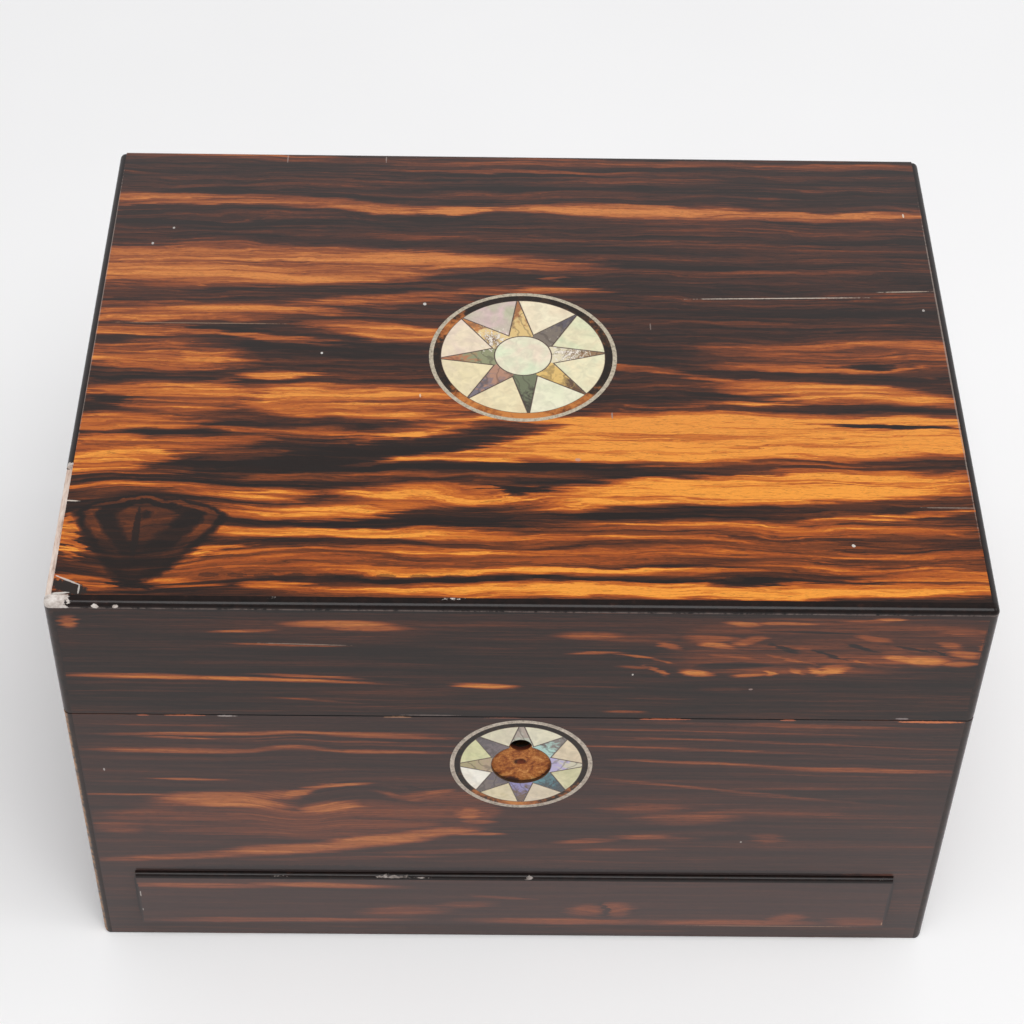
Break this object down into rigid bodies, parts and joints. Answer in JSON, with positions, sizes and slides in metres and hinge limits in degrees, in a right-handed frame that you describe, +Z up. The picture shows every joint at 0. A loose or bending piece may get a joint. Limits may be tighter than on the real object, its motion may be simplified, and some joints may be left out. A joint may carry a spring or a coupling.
{
  "type": "vanity box",
  "caption": "Hinged vanity box with a low drawer across the front, a lift-out tray inside, a mirror under the lid and round shell star inlays.",
  "frame": {"origin": "middle of the underside of the box, on the surface it stands on", "axes": "+X along the front, to the right of someone who faces it; +Y from front to back; +Z up"},
  "size_m": [0.305, 0.2335, 0.1864],
  "materials": {
    "mahogany": "planed and waxed",
    "coromandel": "French polished",
    "ebonised_wood": "French polished black",
    "pewter": "dull rubbed",
    "pearl": "polished shell",
    "abalone": "polished shell",
    "brass": "aged brass",
    "steel": "plain steel",
    "mirror": "silvered glass",
    "velvet": "silk velvet",
    "baize": "wool baize"
  },
  "bodies": {
    "case": {"bottom_board": "mahogany", "base_front_board": "mahogany", "base_back_board": "mahogany", "base_side_boards": "mahogany", "drawer_guides": "mahogany", "dust_board": "mahogany", "tray_supports": "mahogany", "base_front_veneers": "coromandel", "base_back_veneer": "coromandel", "base_side_veneers": "coromandel", "drawer_stiles": "coromandel", "base_corner_strips": "ebonised_wood", "front_star_ebony_ring": "ebonised_wood", "front_star_pewter_ring": "pewter", "front_star_pearl": "pearl", "front_star_abalone": "abalone", "lock_plate": "brass", "hinge_base_leaves": "brass", "base_screws": "brass", "drawer_pin_collar": "brass", "lock_cap": "steel", "hinge_pins": "steel", "drawer_spring": "steel", "baize_sheet": "baize"},
    "lid": {"lid_top_board": "mahogany", "lid_front_rail": "mahogany", "lid_back_rail": "mahogany", "lid_side_rails": "mahogany", "lid_top_veneer": "coromandel", "lid_front_veneer": "coromandel", "lid_back_veneer": "coromandel", "lid_side_veneers": "coromandel", "lid_front_bead": "ebonised_wood", "lid_side_beads": "ebonised_wood", "lid_corner_strips": "ebonised_wood", "lid_star_pewter_ring": "pewter", "lid_star_ebony_ring": "ebonised_wood", "lid_star_pearl": "pearl", "lid_star_abalone": "abalone", "link_plate": "brass", "lid_screws": "brass", "hinge_lid_leaves": "brass", "mirror_glass": "mirror", "mirror_frame": "coromandel", "lid_pad": "velvet"},
    "drawer": {"drawer_front": "mahogany", "drawer_front_veneer": "coromandel", "drawer_top_strip": "ebonised_wood", "drawer_sides": "mahogany", "drawer_back": "mahogany", "drawer_bottom": "mahogany", "drawer_partitions": "mahogany", "drawer_lining": "velvet"},
    "tray": {"tray_walls": "mahogany", "tray_floor": "mahogany", "tray_partitions": "mahogany", "tray_lining": "velvet", "tray_knobs": "ebonised_wood"},
    "lock_bolt": {"lock_bolt": "steel"},
    "drawer_pin": {"drawer_pin": "brass"}
  },
  "joints": [
    {"name": "lid_hinge", "type": "hinge", "parent": "case", "child": "lid", "pos_m": [0, 0.1153, 0.1305], "axis": [-1, 0, 0], "range_deg": [0, 98]},
    {"name": "drawer_slide", "type": "slide", "parent": "case", "child": "drawer", "axis": [0, -1, 0], "range_m": [0, 0.15]},
    {"name": "tray_lift", "type": "slide", "parent": "case", "child": "tray", "axis": [0, 0, 1], "range_m": [0, 0.033]},
    {"name": "bolt_slide", "type": "slide", "parent": "case", "child": "lock_bolt", "axis": [1, 0, 0], "range_m": [0, 0.005]},
    {"name": "pin_slide", "type": "slide", "parent": "case", "child": "drawer_pin", "axis": [0, 0, -1], "range_m": [0, 0.005]}
  ]
}
